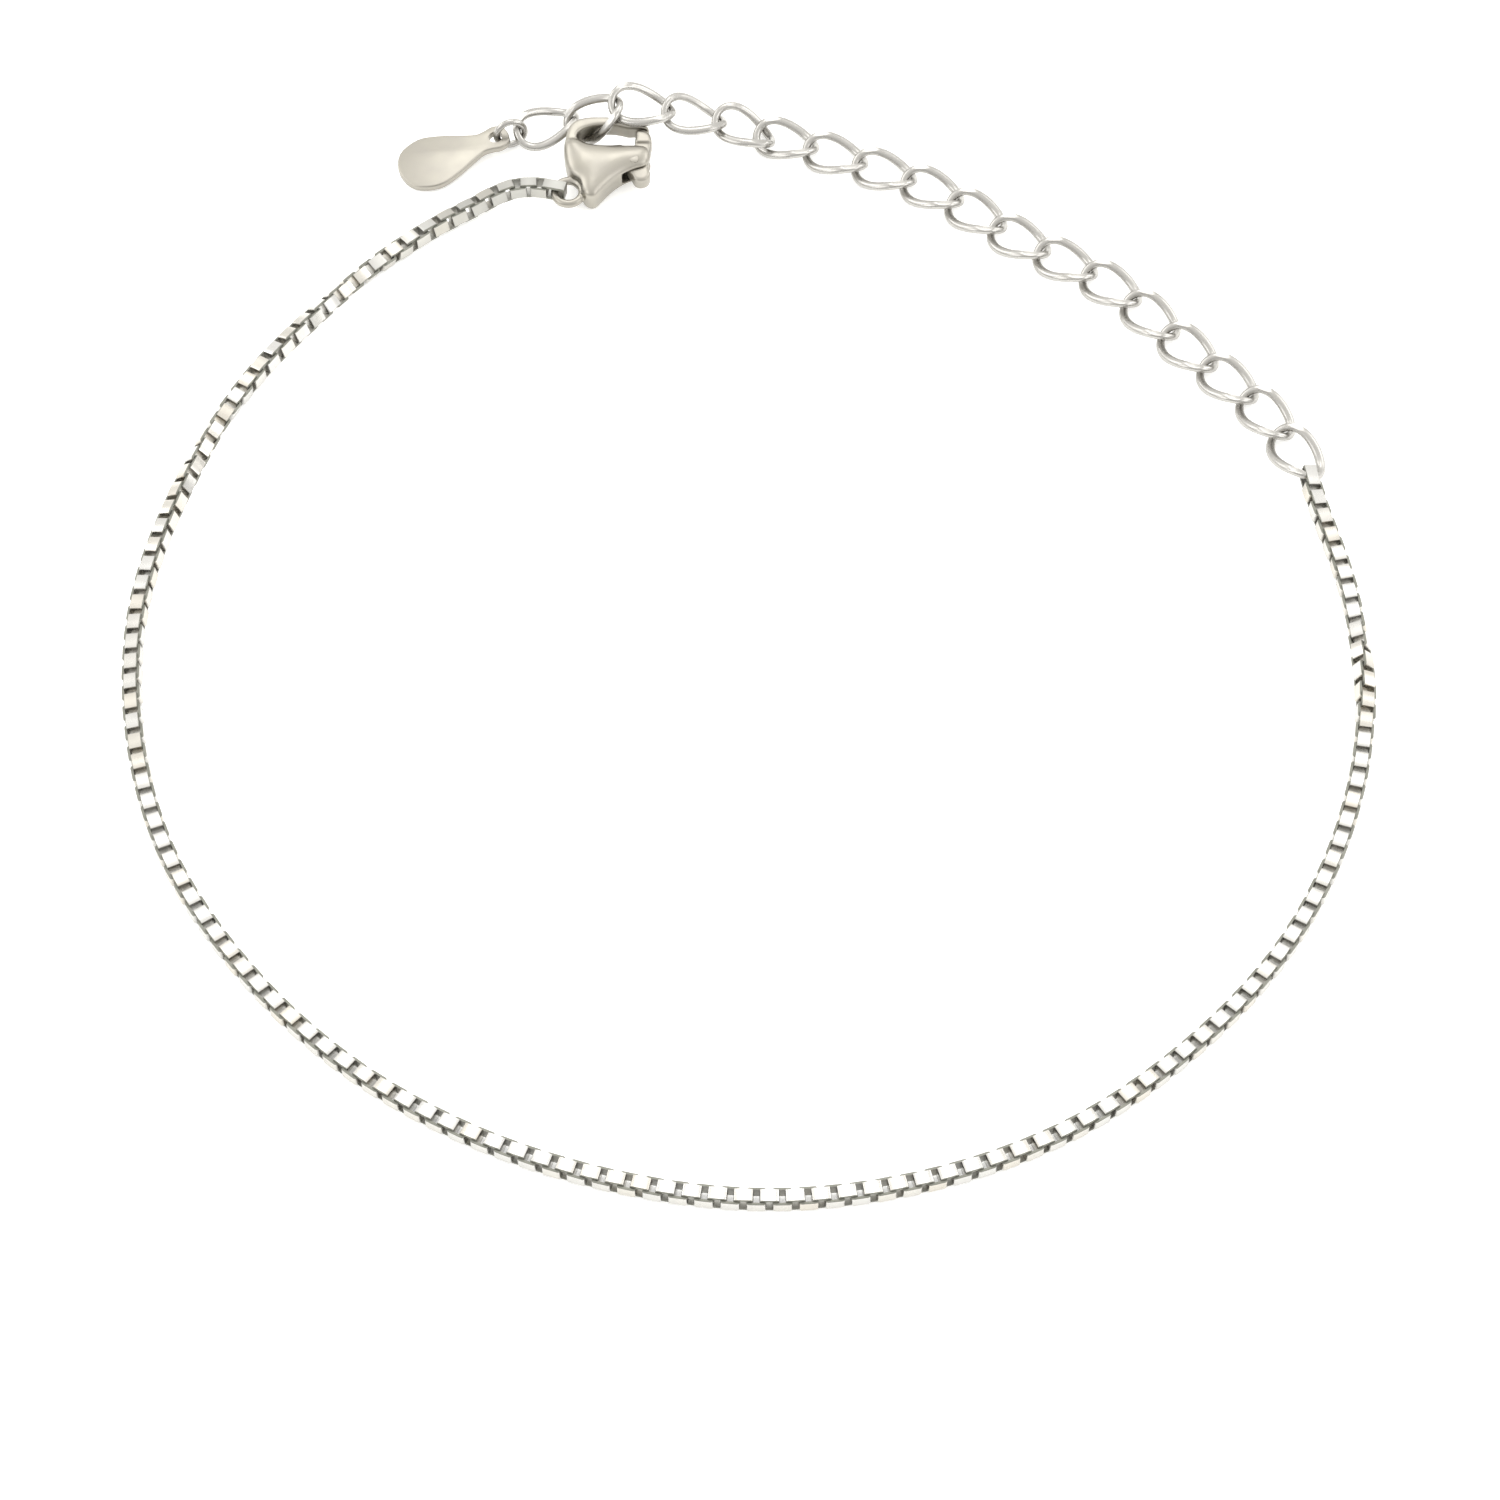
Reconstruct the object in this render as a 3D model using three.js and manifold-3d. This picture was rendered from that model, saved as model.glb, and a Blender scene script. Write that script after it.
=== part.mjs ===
// Box chain bracelet in sterling silver: a fine box chain, an extender of twisted oval
// links with a plain teardrop tag at its end, and a lobster clasp hooked into the extender.
// It lies as a closed loop on a flat surface. Millimetres, +Z up, +X right, +Y away from the
// viewer, origin on the surface under the middle of the loop.

import * as THREE from 'three';
import { mergeVertices } from 'three/addons/utils/BufferGeometryUtils.js';
import Module from 'manifold-3d';

const wasm = await Module();
wasm.setup();

// Box chain
const BOX_LINK_COUNT = 244;
const LINK_SIDE = 1.0;
const BAND_THICKNESS = 0.14;
const BAND_WIDTH = LINK_SIDE - 2 * BAND_THICKNESS;
const END_LINK_EXTRA = 0.45;
const MEETING_GAP = 0.05;

// Extender
const WIRE_DIAMETER = 0.46;
const OVAL_LENGTH = 4.12;
const OVAL_WIDTH = 2.86;
const OVAL_TWIST_RISE = -0.36;
const WIRE_SIDES = 6;
const OVAL_SEGMENTS = 14;

// Clasp, measured in its own plane, which is tilted so that the hook end is higher
const CLASP_PLACE = { x: -8.35, y: 40.9, z: 1.33, tilt: 7 };
const HOUSING_THICKNESS = 2.0;
const HOUSING_BEVEL = 0.35;
const HOOK_THICKNESS = 0.9;
const HOOK_BEVEL = 0.2;
const MOUTH = { x: -0.12, y: 1.35, halfLength: 1.72, halfWidth: 0.72 };
const EYE = { x: -2.28, y: -2.3 };
const EYE_RING_RADIUS = 0.8;
const EYE_WIRE_RADIUS = 0.2;
const PIVOT = { x: 1.55, y: -0.55 };
const SLOT = { left: 0.85, right: 3.2, near: -2.2, far: 1, height: 1.2 };
const LEVER_THICKNESS = 0.9;
const LEVER_BEVEL = 0.15;
const LEVER_SWEEP_RADIUS = 2.42;
const RIVET_RADIUS = 0.28;
const RIVET_INSET = 0.02;
const RIVET_SIDES = 12;
const RUNNING_GAP = 0.05;
const CUTTER_DEPTH = 4;
const CUTTER_REACH = 4;
const CAST_OUTLINE_POINTS = 36;
const HOUSING_OUTLINE_POINTS = 40;
const MOUTH_SEGMENTS = 12;
const SWEEP_SIDES = 40;
const EYE_WIRE_SIDES = 8;
const EYE_RING_SEGMENTS = 16;

// Tag and the small ring that carries it; the tag's eye end is held up by the ring
const TAG_THICKNESS = 0.45;
const TAG_BEVEL = 0.08;
const TAG_HOLE = { x: 4.25, radius: 0.42 };
const TAG_HALF_OUTLINE = [
  [-1.83, 0],
  [-1.35, 1.33],
  [0, 1.9],
  [1.2, 1.62],
  [2.1, 1.22],
  [2.8, 0.9],
  [3.3, 0.72],
  [3.8, 0.76],
  [4.3, 0.86],
  [4.85, 0.66],
  [5.05, 0],
];
const TAG_PLACE = { x: -18.95, y: 41.35, z: 0.18, heading: 21.9, pitch: 5.5, roll: 0 };
const TAG_OUTLINE_POINTS = 48;
const TAG_RING_RADIUS = 0.85;
const TAG_RING_WIRE_SIDES = 6;
const TAG_RING_SEGMENTS = 16;
const TAG_RING_WIRE_RADIUS = 0.2;
const TAG_RING_PLACE = { x: -14.17, y: 43.18, z: 1.05, heading: 15.5, pitch: 2, roll: 82.5 };

const radians = THREE.MathUtils.degToRad;
const UP = new THREE.Vector3(0, 0, 1);

const silver = { color: 0xd9d8d4, roughness: 0.18, metalness: 1 };
const satinSilver = { color: 0xdcd8cb, roughness: 0.45, metalness: 1 };

// Middle line of the box chain on the surface, from the clasp round to the extender.
const CHAIN_ROUTE = [
  { x: -10.8, y: 38.6 },
  { x: -12.8, y: 39.0 },
  { x: -14.3, y: 38.75 },
  { x: -16.4, y: 37.6 },
  { x: -18.4, y: 36.4 },
  { x: -20.9, y: 34.3 },
  { x: -24.1, y: 30.9 },
  { x: -28.8, y: 24.5 },
  { x: -31.9, y: 17.1 },
  { x: -33.6, y: 9.3 },
  { x: -33.2, y: 1.3 },
  { x: -31.0, y: -6.3 },
  { x: -26.8, y: -13.1 },
  { x: -21.2, y: -18.9 },
  { x: -14.5, y: -23.2 },
  { x: -7.1, y: -25.9 },
  { x: 0.8, y: -27.0 },
  { x: 8.7, y: -26.0 },
  { x: 16.2, y: -23.1 },
  { x: 22.6, y: -18.4 },
  { x: 27.9, y: -12.4 },
  { x: 31.5, y: -5.3 },
  { x: 33.3, y: 2.5 },
  { x: 33.0, y: 10.4 },
  { x: 31.7, y: 16.4 },
  { x: 31.3, y: 18.75 },
];

// How far the chain is rolled about its own line, and lifted, at distances along it.
const CHAIN_ROLL = [
  { along: 0, roll: -182, lift: 0.6 },
  { along: 3, roll: -188, lift: 0.55 },
  { along: 6, roll: -202, lift: 0.15 },
  { along: 8, roll: -196, lift: 0 },
  { along: 10, roll: -182, lift: 0 },
  { along: 12, roll: -164, lift: 0 },
  { along: 15.5, roll: -138, lift: 0 },
  { along: 18, roll: -120, lift: 0 },
  { along: 21.3, roll: -106, lift: 0 },
  { along: 23.9, roll: -90, lift: 0 },
  { along: 25.8, roll: -73, lift: 0 },
  { along: 28, roll: -55, lift: 0 },
  { along: 30.5, roll: -42, lift: 0 },
  { along: 33, roll: -29, lift: 0 },
  { along: 35, roll: -17, lift: 0 },
  { along: 38, roll: -10, lift: 0 },
  { along: 47.5, roll: -9, lift: 0 },
  { along: 51.5, roll: -4, lift: 0 },
  { along: 56, roll: 0, lift: 0 },
  { along: 143, roll: 0, lift: 0 },
  { along: 145, roll: -16, lift: 0 },
  { along: 147, roll: -38, lift: 0 },
  { along: 149, roll: -68, lift: 0 },
  { along: 151, roll: -84, lift: 0 },
  { along: 156, roll: -94, lift: 0 },
  { along: 160, roll: -102, lift: 0 },
  { along: 162, roll: -116, lift: 0 },
];

// The first links of the extender climb over the clasp's hook and down again. Degrees; the
// roll lifts the far side of a link.
const CLIMBING_LINKS = [
  { x: -12.06, y: 43.83, z: 0.98, heading: 23.5, pitch: 2, roll: 1 },
  { x: -9.2, y: 43.68, z: 1.83, heading: 3, pitch: 32.5, roll: 17 },
  { x: -6.37, y: 44.01, z: 2.51, heading: -5.5, pitch: -11, roll: 3.5 },
  { x: -3.31, y: 43.98, z: 1.68, heading: 0.5, pitch: -18, roll: -2.5 },
  { x: -0.35, y: 43.61, z: 0.97, heading: -26, pitch: -12.5, roll: -7 },
];

// Middle line of the rest of the extender, down to the box chain.
const EXTENDER_ROUTE = [
  { x: 2.13, y: 42.99, z: 0.59 },
  { x: 5.2, y: 41.75, z: 0.59 },
  { x: 10.7, y: 39.15, z: 0.59 },
  { x: 15.63, y: 35.44, z: 0.59 },
  { x: 20.93, y: 31.82, z: 0.59 },
  { x: 24.91, y: 27.43, z: 0.59 },
  { x: 29.12, y: 22.71, z: 0.59 },
  { x: 30.76, y: 19.82, z: 0.59 },
];
const ROUTE_LINKS = 13;

const group = new THREE.Group();
group.name = 'box_chain_bracelet';

function addMesh(name, geometry, finish) {
  const mesh = new THREE.Mesh(geometry, new THREE.MeshStandardMaterial(finish));
  mesh.name = name;
  group.add(mesh);
  return mesh;
}

function closedGeometry(geometry) {
  const bare = geometry.clone();
  bare.deleteAttribute('normal');
  bare.deleteAttribute('uv');
  return mergeVertices(bare, 1e-5);
}

// Puts a piece in its place: heading in plan, pitch up along the heading, roll about it.
function placePiece(mesh, place) {
  mesh.position.set(place.x, place.y, place.z);
  mesh.rotation.set(radians(place.roll), -radians(place.pitch), radians(place.heading), 'ZYX');
}

// A value between the rows of a table.
function tableValue(rows, along, column) {
  if (along <= rows[0].along) return rows[0][column];
  for (let i = 1; i < rows.length; i += 1) {
    const from = rows[i - 1];
    const to = rows[i];
    if (along <= to.along) {
      const share = (along - from.along) / (to.along - from.along);
      return THREE.MathUtils.lerp(from[column], to[column], share);
    }
  }
  return rows[rows.length - 1][column];
}

function routeCurve(points) {
  const curve = new THREE.CatmullRomCurve3(
    points.map((p) => new THREE.Vector3(p.x, p.y, p.z ?? 0)),
    false,
    'centripetal',
  );
  curve.arcLengthDivisions = 3000;
  return curve;
}

// Box chain. Each link is a square ring of flat band, turned a quarter turn from the next.
// A link runs from its start to its end, and overlaps the links before and after it.

const CORE = BAND_WIDTH / 2;
const ARM = LINK_SIDE / 2;
const CROSS = [
  [CORE, ARM],
  [CORE, CORE],
  [ARM, CORE],
  [ARM, -CORE],
  [CORE, -CORE],
  [CORE, -ARM],
  [-CORE, -ARM],
  [-CORE, -CORE],
  [-ARM, -CORE],
  [-ARM, CORE],
  [-CORE, CORE],
  [-CORE, ARM],
];
const WEB = [10, 1, 4, 7];
const PLATES = {
  tall: [[11, 0, 1, 10], [5, 6, 7, 4]],
  wide: [[2, 3, 4, 1], [8, 9, 10, 7]],
};

const chainRoute = routeCurve(CHAIN_ROUTE);
const CHAIN_LENGTH = chainRoute.getLength();
const LINK_SPACING = (CHAIN_LENGTH - 2 * END_LINK_EXTRA - 2 * BAND_THICKNESS) / BOX_LINK_COUNT;
const LINK_LENGTH = LINK_SPACING + 2 * BAND_THICKNESS;

// Height of the chain's middle line when its cross section rests on the surface.
function restHeight(roll) {
  const c = Math.abs(Math.cos(roll));
  const s = Math.abs(Math.sin(roll));
  return Math.max(c * ARM + s * CORE, c * CORE + s * ARM);
}

function chainPoint(along) {
  const share = THREE.MathUtils.clamp(along / CHAIN_LENGTH, 0, 1);
  const point = chainRoute.getPointAt(share);
  const roll = radians(tableValue(CHAIN_ROLL, along, 'roll'));
  point.z = restHeight(roll) + tableValue(CHAIN_ROLL, along, 'lift');
  return point;
}

// The twelve corners of the crossed section at a distance along the chain. The inset makes
// the band narrower where two parts of the chain meet.
function chainSection(along, kind = 'tall', inset = 0) {
  const step = LINK_LENGTH / 2;
  const start = Math.max(along - step, 0);
  const end = Math.min(along + step, CHAIN_LENGTH);
  const tangent = chainPoint(end).sub(chainPoint(start)).normalize();
  const side = UP.clone().cross(tangent).normalize();
  const top = tangent.clone().cross(side);
  const roll = radians(tableValue(CHAIN_ROLL, along, 'roll'));
  const across = side.clone().multiplyScalar(Math.cos(roll)).addScaledVector(top, -Math.sin(roll));
  const up = top.clone().multiplyScalar(Math.cos(roll)).addScaledVector(side, Math.sin(roll));
  const shrink = (CORE - inset) / CORE;
  const centre = chainPoint(along);
  return CROSS.map(([a, b]) => centre
    .clone()
    .addScaledVector(across, kind === 'tall' ? a * shrink : a)
    .addScaledVector(up, kind === 'wide' ? b * shrink : b));
}

function boxLinkSpan(index) {
  const first = index === 0 ? 0 : index * LINK_SPACING + END_LINK_EXTRA;
  const isLast = index === BOX_LINK_COUNT - 1;
  const end = isLast ? CHAIN_LENGTH : (index + 1) * LINK_SPACING + END_LINK_EXTRA + 2 * BAND_THICKNESS;
  return { start: first, end };
}

function boxLinkKind(index) {
  return index % 2 === 0 ? 'tall' : 'wide';
}

class TriangleList {
  constructor() {
    this.positions = [];
  }

  face(...corners) {
    for (let i = 2; i < corners.length; i += 1) {
      for (const p of [corners[0], corners[i - 1], corners[i]]) {
        this.positions.push(p.x, p.y, p.z);
      }
    }
  }

  geometry() {
    const geometry = new THREE.BufferGeometry();
    geometry.setAttribute('position', new THREE.Float32BufferAttribute(this.positions, 3));
    return mergeVertices(geometry, 1e-5);
  }
}

// One end of a link: its three squares, facing back along the chain or forward.
function addLinkEnd(list, section, kind, forward) {
  for (const loop of [...PLATES[kind], WEB]) {
    const corners = loop.map((k) => section[k]);
    if (forward) corners.reverse();
    list.face(...corners);
  }
}

// The bar that closes a free end: its two sides, and its face towards the window.
function addEndBar(list, outer, inner, kind, forward) {
  const sides = kind === 'tall' ? [[1, 4], [7, 10]] : [[10, 1], [4, 7]];
  const near = forward ? inner : outer;
  const far = forward ? outer : inner;
  for (const [i, j] of sides) list.face(near[i], far[i], far[j], near[j]);
  const window = WEB.map((k) => inner[k]);
  if (!forward) window.reverse();
  list.face(...window);
}

// The two flat sides of a link's band, between the sections that cut into them.
function addPlates(list, kind, start, windowStart, windowEnd, end) {
  for (const [a, b, c, d] of PLATES[kind]) {
    list.face(start[a], end[a], end[b], start[b]);
    list.face(end[b], end[c], windowEnd[c], windowStart[c], start[c], start[b]);
    list.face(windowStart[c], windowEnd[c], windowEnd[d], windowStart[d]);
    list.face(start[a], start[d], windowStart[d], windowEnd[d], end[d], end[a]);
  }
}

function boxChainGeometry(firstLink, lastLink) {
  const list = new TriangleList();
  const meetsBefore = firstLink > 0;
  const meetsAfter = lastLink < BOX_LINK_COUNT - 1;
  for (let i = firstLink; i <= lastLink; i += 1) {
    const kind = boxLinkKind(i);
    const span = boxLinkSpan(i);
    const isFirst = i === firstLink;
    const isLast = i === lastLink;
    const startInset = isFirst && meetsBefore ? MEETING_GAP : 0;
    const endInset = isLast && meetsAfter ? MEETING_GAP : 0;
    const startAt = span.start - startInset;
    const start = chainSection(startAt, kind, startInset);
    const end = chainSection(span.end, kind, endInset);
    const windowStart = isFirst
      ? chainSection(startAt + BAND_THICKNESS, kind, startInset)
      : chainSection(boxLinkSpan(i - 1).end, boxLinkKind(i - 1));
    const windowEnd = isLast
      ? chainSection(span.end - BAND_THICKNESS, kind, endInset)
      : chainSection(boxLinkSpan(i + 1).start, boxLinkKind(i + 1));
    addPlates(list, kind, start, windowStart, windowEnd, end);
    addLinkEnd(list, start, kind, false);
    addLinkEnd(list, end, kind, true);
    if (isFirst) addEndBar(list, start, windowStart, kind, false);
    if (isLast) addEndBar(list, end, windowEnd, kind, true);
  }
  return list.geometry();
}

const MEETING_LINK = BOX_LINK_COUNT / 2;
addMesh('box_chain_clasp_half', boxChainGeometry(0, MEETING_LINK - 1), silver);
addMesh('box_chain_extender_half', boxChainGeometry(MEETING_LINK, BOX_LINK_COUNT - 1), silver);

// Extender of oval links, each twisted so that the chain lies flat.

class TwistedOval extends THREE.Curve {
  getPoint(t) {
    const angle = 2 * Math.PI * t;
    return new THREE.Vector3(
      (OVAL_LENGTH - WIRE_DIAMETER) / 2 * Math.cos(angle),
      (OVAL_WIDTH - WIRE_DIAMETER) / 2 * Math.sin(angle),
      OVAL_TWIST_RISE * Math.sin(2 * angle),
    );
  }
}

const ovalGeometry = closedGeometry(
  new THREE.TubeGeometry(new TwistedOval(), OVAL_SEGMENTS, WIRE_DIAMETER / 2, WIRE_SIDES, true),
);

function addOvalLink(number, place) {
  placePiece(addMesh(`extender_link_${String(number).padStart(2, '0')}`, ovalGeometry, silver), place);
}

function addExtender() {
  CLIMBING_LINKS.forEach((place, index) => addOvalLink(index + 1, place));
  const route = routeCurve(EXTENDER_ROUTE);
  for (let index = 0; index < ROUTE_LINKS; index += 1) {
    const along = index / (ROUTE_LINKS - 1);
    const { x, y, z } = route.getPointAt(along);
    const ahead = route.getTangentAt(along);
    const heading = THREE.MathUtils.radToDeg(Math.atan2(ahead.y, ahead.x));
    addOvalLink(CLIMBING_LINKS.length + index + 1, { x, y, z, heading, pitch: 0, roll: 0 });
  }
}
addExtender();

// Joins and cuts of closed meshes.

function toSolid(geometry) {
  const merged = closedGeometry(geometry);
  return new wasm.Manifold(new wasm.Mesh({
    numProp: 3,
    vertProperties: merged.attributes.position.array,
    triVerts: new Uint32Array(merged.index.array),
  }));
}

function toGeometry(solid) {
  const mesh = solid.getMesh();
  const geometry = new THREE.BufferGeometry();
  geometry.setAttribute('position', new THREE.BufferAttribute(new Float32Array(mesh.vertProperties), 3));
  geometry.setIndex(new THREE.BufferAttribute(new Uint32Array(mesh.triVerts), 1));
  return geometry;
}

// A flat outline made a plate of the given thickness, its middle at height z.
function plate(outline, thickness, z, bevel = 0, curveSegments = 8) {
  const geometry = new THREE.ExtrudeGeometry(outline, {
    depth: thickness - 2 * bevel,
    bevelEnabled: bevel > 0,
    bevelThickness: bevel,
    bevelSize: bevel,
    bevelOffset: -bevel,
    bevelSegments: 1,
    curveSegments,
  });
  return geometry.translate(0, 0, z - thickness / 2 + bevel);
}

function disc(x, y, radius, thickness, z, sides) {
  const geometry = new THREE.CylinderGeometry(radius, radius, thickness, sides);
  return geometry.rotateX(Math.PI / 2).translate(x, y, z);
}

function block(minX, maxX, minY, maxY, thickness, z) {
  const geometry = new THREE.BoxGeometry(maxX - minX, maxY - minY, thickness);
  return geometry.translate((minX + maxX) / 2, (minY + maxY) / 2, z);
}

function smoothOutline(points, segments) {
  const curve = new THREE.CatmullRomCurve3(
    points.map(([x, y]) => new THREE.Vector3(x, y, 0)),
    true,
    'centripetal',
  );
  return new THREE.Shape(curve.getPoints(segments).slice(0, -1).map((p) => new THREE.Vector2(p.x, p.y)));
}

// Lobster clasp: a thick housing with an eye ring, a hook round the mouth, and a lever that
// swings into the mouth about a rivet. Outlines are in the plane of the clasp.

const HOUSING_OUTLINE = [
  [-2.5, 0.95],
  [-2.5, -0.5],
  [-2.25, -1.3],
  [-1.75, -1.85],
  [-1.55, -2.5],
  [-1.25, -3.0],
  [-0.75, -3.1],
  [-0.3, -2.6],
  [0.4, -1.8],
  [1.1, -1.3],
  [1.7, -1.05],
  [2.25, -0.85],
  [2.5, -0.4],
  [2.5, 0.2],
  [2.2, 0.55],
  [1.5, 0.6],
  [0, 0.6],
  [-1.3, 0.75],
  [-1.8, 1.05],
];
const HOOK_OUTLINE = [
  [-1.5, 0],
  [1.5, 0],
  [2.5, 0.2],
  [2.58, 1.2],
  [2.4, 1.9],
  [1.8, 2.35],
  [0.8, 2.6],
  [-0.5, 2.68],
  [-1.6, 2.58],
  [-2.25, 2.15],
  [-2.5, 1.3],
  [-2.52, 0.3],
];
const LEVER_OUTLINE = [
  [1.0, -0.6],
  [1.15, -1.0],
  [1.4, -1.35],
  [1.6, -1.7],
  [1.95, -1.8],
  [2.35, -1.65],
  [2.5, -1.25],
  [2.4, -0.8],
  [2.4, -0.3],
  [2.5, 0.4],
  [2.56, 1.1],
  [2.35, 1.6],
  [2.05, 1.75],
  [1.65, 1.68],
  [1.6, 1.2],
  [1.5, 0.6],
  [1.2, 0.1],
  [1.0, -0.25],
];

function rivetHole() {
  return toSolid(disc(PIVOT.x, PIVOT.y, RIVET_RADIUS + RUNNING_GAP, CUTTER_DEPTH, 0, RIVET_SIDES));
}

function hookSolid() {
  const outline = smoothOutline(HOOK_OUTLINE, CAST_OUTLINE_POINTS);
  const mouth = new THREE.Path();
  mouth.absellipse(MOUTH.x, MOUTH.y, MOUTH.halfLength, MOUTH.halfWidth, 0, 2 * Math.PI, true);
  outline.holes.push(mouth);
  const ring = toSolid(plate(outline, HOOK_THICKNESS, 0, HOOK_BEVEL, MOUTH_SEGMENTS));
  const sweep = toSolid(
    disc(PIVOT.x, PIVOT.y, LEVER_SWEEP_RADIUS, CUTTER_DEPTH, 0, SWEEP_SIDES),
  );
  const rightSide = toSolid(
    block(SLOT.left, CUTTER_REACH, -CUTTER_REACH, CUTTER_REACH, CUTTER_DEPTH, 0),
  );
  return ring.subtract(sweep.intersect(rightSide));
}

function claspBody() {
  const outline = smoothOutline(HOUSING_OUTLINE, HOUSING_OUTLINE_POINTS);
  const housing = toSolid(plate(outline, HOUSING_THICKNESS, 0, HOUSING_BEVEL));
  const slot = toSolid(block(SLOT.left, SLOT.right, SLOT.near, SLOT.far, SLOT.height, 0));
  const eye = new THREE.TorusGeometry(
    EYE_RING_RADIUS,
    EYE_WIRE_RADIUS,
    EYE_WIRE_SIDES,
    EYE_RING_SEGMENTS,
  );
  const eyeSolid = toSolid(eye.translate(EYE.x, EYE.y, 0));
  const eyeHole = toSolid(
    disc(EYE.x, EYE.y, EYE_RING_RADIUS, CUTTER_DEPTH, 0, EYE_RING_SEGMENTS),
  );
  return housing
    .subtract(slot)
    .add(hookSolid())
    .subtract(eyeHole)
    .add(eyeSolid)
    .subtract(rivetHole());
}

function claspLever() {
  const outline = smoothOutline(LEVER_OUTLINE, CAST_OUTLINE_POINTS);
  return toSolid(plate(outline, LEVER_THICKNESS, 0, LEVER_BEVEL)).subtract(rivetHole());
}

function addClasp() {
  const clasp = new THREE.Group();
  const rivetLength = HOUSING_THICKNESS - 2 * RIVET_INSET;
  const rivet = disc(PIVOT.x, PIVOT.y, RIVET_RADIUS, rivetLength, 0, RIVET_SIDES);
  clasp.add(
    addMesh('clasp_body', toGeometry(claspBody()), satinSilver),
    addMesh('clasp_lever', toGeometry(claspLever()), silver),
    addMesh('clasp_rivet', closedGeometry(rivet), silver),
  );
  clasp.position.set(CLASP_PLACE.x, CLASP_PLACE.y, CLASP_PLACE.z);
  clasp.rotation.x = radians(CLASP_PLACE.tilt);
  group.add(clasp);
}
addClasp();

// Teardrop tag and its ring.

function tagGeometry() {
  const farSide = TAG_HALF_OUTLINE.slice(1, -1).map(([x, y]) => [x, -y]);
  const outline = smoothOutline(
    [...farSide, ...TAG_HALF_OUTLINE.slice().reverse()],
    TAG_OUTLINE_POINTS,
  );
  const hole = new THREE.Path();
  hole.absarc(TAG_HOLE.x, 0, TAG_HOLE.radius, 0, 2 * Math.PI, true);
  outline.holes.push(hole);
  return plate(outline, TAG_THICKNESS, TAG_THICKNESS / 2, TAG_BEVEL);
}

function addTag() {
  placePiece(addMesh('tag', closedGeometry(tagGeometry()), satinSilver), TAG_PLACE);
  const ring = new THREE.TorusGeometry(
    TAG_RING_RADIUS,
    TAG_RING_WIRE_RADIUS,
    TAG_RING_WIRE_SIDES,
    TAG_RING_SEGMENTS,
  );
  placePiece(addMesh('tag_ring', closedGeometry(ring), silver), TAG_RING_PLACE);
}
addTag();

// The part stands on z = 0 with the middle of its bounding box on the origin.
const bounds = new THREE.Box3().setFromObject(group, true);
const middle = bounds.getCenter(new THREE.Vector3());
group.position.set(-middle.x, -middle.y, -bounds.min.z);

export default group;
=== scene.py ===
import bisect
import math
import random

import bmesh
import bpy
from mathutils import Matrix, Vector
from mathutils.kdtree import KDTree


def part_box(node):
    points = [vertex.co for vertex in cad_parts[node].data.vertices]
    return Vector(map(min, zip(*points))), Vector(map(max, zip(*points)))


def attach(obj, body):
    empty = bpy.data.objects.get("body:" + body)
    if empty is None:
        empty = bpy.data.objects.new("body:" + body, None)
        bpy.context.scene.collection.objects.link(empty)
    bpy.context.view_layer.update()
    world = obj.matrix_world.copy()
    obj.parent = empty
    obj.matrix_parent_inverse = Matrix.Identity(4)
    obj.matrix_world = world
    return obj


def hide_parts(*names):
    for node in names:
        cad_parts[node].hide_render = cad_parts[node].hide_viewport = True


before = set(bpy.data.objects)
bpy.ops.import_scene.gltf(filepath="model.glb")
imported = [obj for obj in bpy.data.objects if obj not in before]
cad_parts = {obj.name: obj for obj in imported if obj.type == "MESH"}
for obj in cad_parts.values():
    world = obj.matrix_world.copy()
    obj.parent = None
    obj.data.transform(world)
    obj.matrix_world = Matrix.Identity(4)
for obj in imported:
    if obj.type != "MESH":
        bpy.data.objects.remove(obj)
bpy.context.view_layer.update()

bl_info = {
    "name": "Box Chain Bracelet",
    "version": (1, 0, 0),
    "blender": (4, 5, 0),
    "location": "View3D > Sidebar > Bracelet",
    "description": "Finished silver surfaces of a box chain bracelet with extender, clasp and tag",
    "category": "Object",
}

# Lengths in the tables and in the modelling are millimetres; a finished mesh is in metres.
MM = 0.001

# Points worked out between two rows of a route or an outline.
ROUTE_POINTS = 120
OUTLINE_POINTS = 4
FINE_OUTLINE_POINTS = 40

# Faces that meet at a larger angle than this, in degrees, show an edge.
EDGE_ANGLE = 35
CASTING_EDGE_ANGLE = 60

# Middle line of the box chain on the surface, from the clasp round to the extender.
CHAIN_ROUTE = (
    (-10.8, 38.6, 0),
    (-12.8, 39.0, 0),
    (-14.3, 38.75, 0),
    (-16.4, 37.6, 0),
    (-18.4, 36.4, 0),
    (-20.9, 34.3, 0),
    (-24.1, 30.9, 0),
    (-28.8, 24.5, 0),
    (-31.9, 17.1, 0),
    (-33.6, 9.3, 0),
    (-33.2, 1.3, 0),
    (-31.0, -6.3, 0),
    (-26.8, -13.1, 0),
    (-21.2, -18.9, 0),
    (-14.5, -23.2, 0),
    (-7.1, -25.9, 0),
    (0.8, -27.0, 0),
    (8.7, -26.0, 0),
    (16.2, -23.1, 0),
    (22.6, -18.4, 0),
    (27.9, -12.4, 0),
    (31.5, -5.3, 0),
    (33.3, 2.5, 0),
    (33.0, 10.4, 0),
    (31.7, 16.4, 0),
    (31.3, 18.75, 0),
)

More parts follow.
